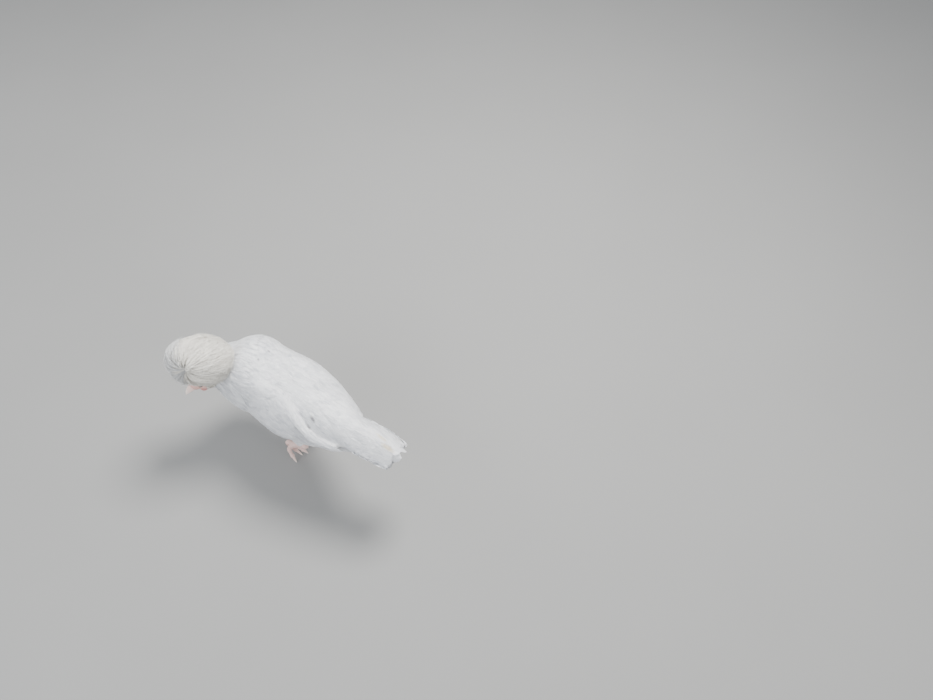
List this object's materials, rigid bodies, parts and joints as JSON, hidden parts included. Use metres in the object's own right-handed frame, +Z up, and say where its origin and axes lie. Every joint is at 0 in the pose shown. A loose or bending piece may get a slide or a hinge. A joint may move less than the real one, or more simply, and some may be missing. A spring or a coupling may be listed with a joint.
{
  "type": "polish chicken",
  "caption": "White crested hen as a still, life-size model in a walking pose, head turned to its left, one foot flat and the other lifted.",
  "frame": {"origin": "the middle of the bottom of the bounding box, on the floor that the feet rest on", "axes": "+Z up, -Y the way the body faces, +X the hen's left side"},
  "size_m": [0.1566, 0.3876, 0.2429],
  "materials": {
    "white_feather": "soft white feather",
    "crest_feather": "soft creamy white feather",
    "face_skin": "pale pink skin",
    "comb_skin": "red skin",
    "earlobe_skin": "white skin",
    "leg_scale": "pale pink scales",
    "horn": "pale horn",
    "eye": "wet dark eye"
  },
  "bodies": {
    "root": {"torso": "white_feather", "neck": "white_feather", "tail": "white_feather", "wing_left": "white_feather", "wing_right": "white_feather", "thigh_left": "white_feather", "thigh_right": "white_feather", "crest": "crest_feather", "head": "face_skin", "eye_left": "eye", "eye_right": "eye", "beak_upper": "horn", "beak_lower": "horn", "comb": "comb_skin", "wattle_left": "comb_skin", "wattle_right": "comb_skin", "earlobe_left": "earlobe_skin", "earlobe_right": "earlobe_skin", "shank_left": "leg_scale", "shank_right": "leg_scale", "foot_left": "leg_scale", "foot_right": "leg_scale", "claw_left_inner": "horn", "claw_left_middle": "horn", "claw_left_outer": "horn", "claw_left_hind": "horn", "claw_right_inner": "horn", "claw_right_middle": "horn", "claw_right_outer": "horn", "claw_right_hind": "horn"}
  },
  "joints": []
}
